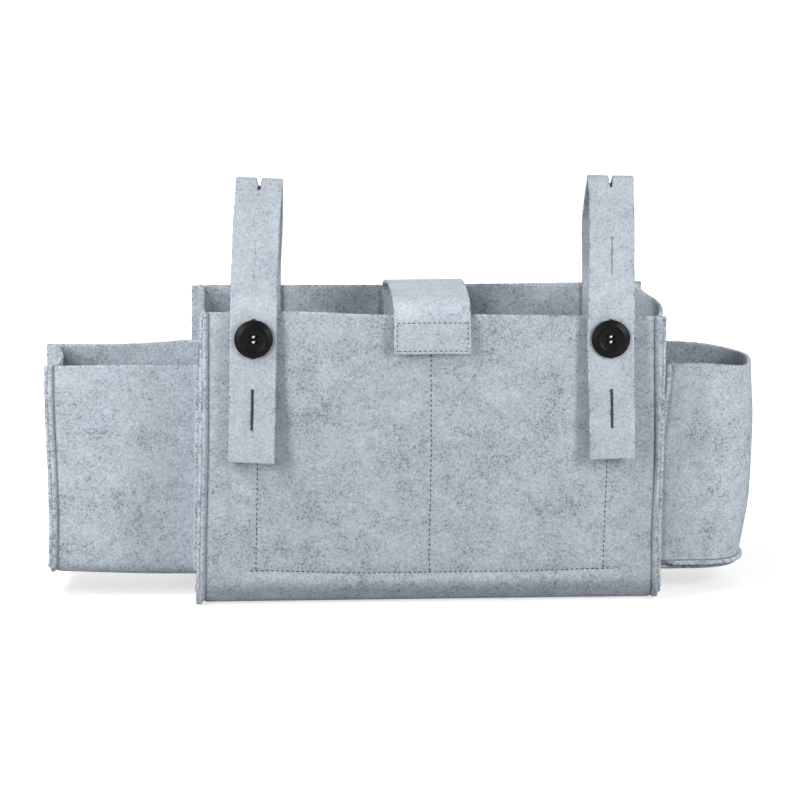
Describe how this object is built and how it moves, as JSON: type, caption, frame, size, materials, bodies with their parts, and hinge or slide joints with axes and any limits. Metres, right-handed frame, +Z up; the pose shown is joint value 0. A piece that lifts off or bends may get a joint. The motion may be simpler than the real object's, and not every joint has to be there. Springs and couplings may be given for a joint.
{
  "type": "bedside caddy",
  "caption": "Felt bedside caddy with a main compartment, a boxy side pocket, a round-ended bottle pocket, buttoned hanging straps and a hook-and-loop closure tab.",
  "frame": {"origin": "middle of the main compartment's base, on the surface it stands on", "axes": "+X to the viewer's right along the width, +Y from front to back, +Z up"},
  "size_m": [0.5166, 0.1171, 0.3047],
  "materials": {
    "felt": "mottled light blue-grey pressed felt with darker fibres",
    "button_plastic": "black moulded plastic, satin",
    "button_thread": "light grey sewing thread",
    "fastening_tape": "grey hook-and-loop tape"
  },
  "bodies": {
    "caddy": {"main_sling": "felt", "left_side_panel": "felt", "right_side_panel": "felt", "inner_pocket_panel": "felt", "left_pocket_sling": "felt", "left_pocket_gusset": "felt", "right_pocket_wall": "felt", "right_pocket_base": "felt", "left_strap_rear_ply": "felt", "right_strap_rear_ply": "felt", "closure_tab_anchor": "felt", "panel_loop_patch": "fastening_tape"},
    "closure_tab": {"closure_tab": "felt", "tab_hook_patch": "fastening_tape"},
    "left_strap": {"left_strap_front_ply": "felt"},
    "right_strap": {"right_strap_front_ply": "felt"},
    "left_button": {"left_button": "button_plastic", "left_button_thread": "button_thread"},
    "right_button": {"right_button": "button_plastic", "right_button_thread": "button_thread"}
  },
  "joints": [
    {"name": "tab_lift", "type": "hinge", "parent": "caddy", "child": "closure_tab", "pos_m": [0.0023, 0.0482, 0.217], "axis": [-1, 0, 0], "range_deg": [0, 120]},
    {"name": "left_strap_open", "type": "hinge", "parent": "caddy", "child": "left_strap", "pos_m": [-0.129, -0.00425, 0.3022], "axis": [-1, 0, 0], "range_deg": [0, 100], "deforming": ["left_strap_front_ply"]},
    {"name": "right_strap_open", "type": "hinge", "parent": "caddy", "child": "right_strap", "pos_m": [0.129, -0.00425, 0.3022], "axis": [-1, 0, 0], "range_deg": [0, 100], "deforming": ["right_strap_front_ply"]},
    {"name": "left_button_turn", "type": "hinge", "parent": "caddy", "child": "left_button", "pos_m": [-0.129, -0.062, 0.199], "axis": [0, -1, 0], "range_deg": [-30, 30], "stiffness_Nm_per_rad": 0.002},
    {"name": "right_button_turn", "type": "hinge", "parent": "caddy", "child": "right_button", "pos_m": [0.129, -0.062, 0.199], "axis": [0, -1, 0], "range_deg": [-30, 30], "stiffness_Nm_per_rad": 0.002}
  ]
}
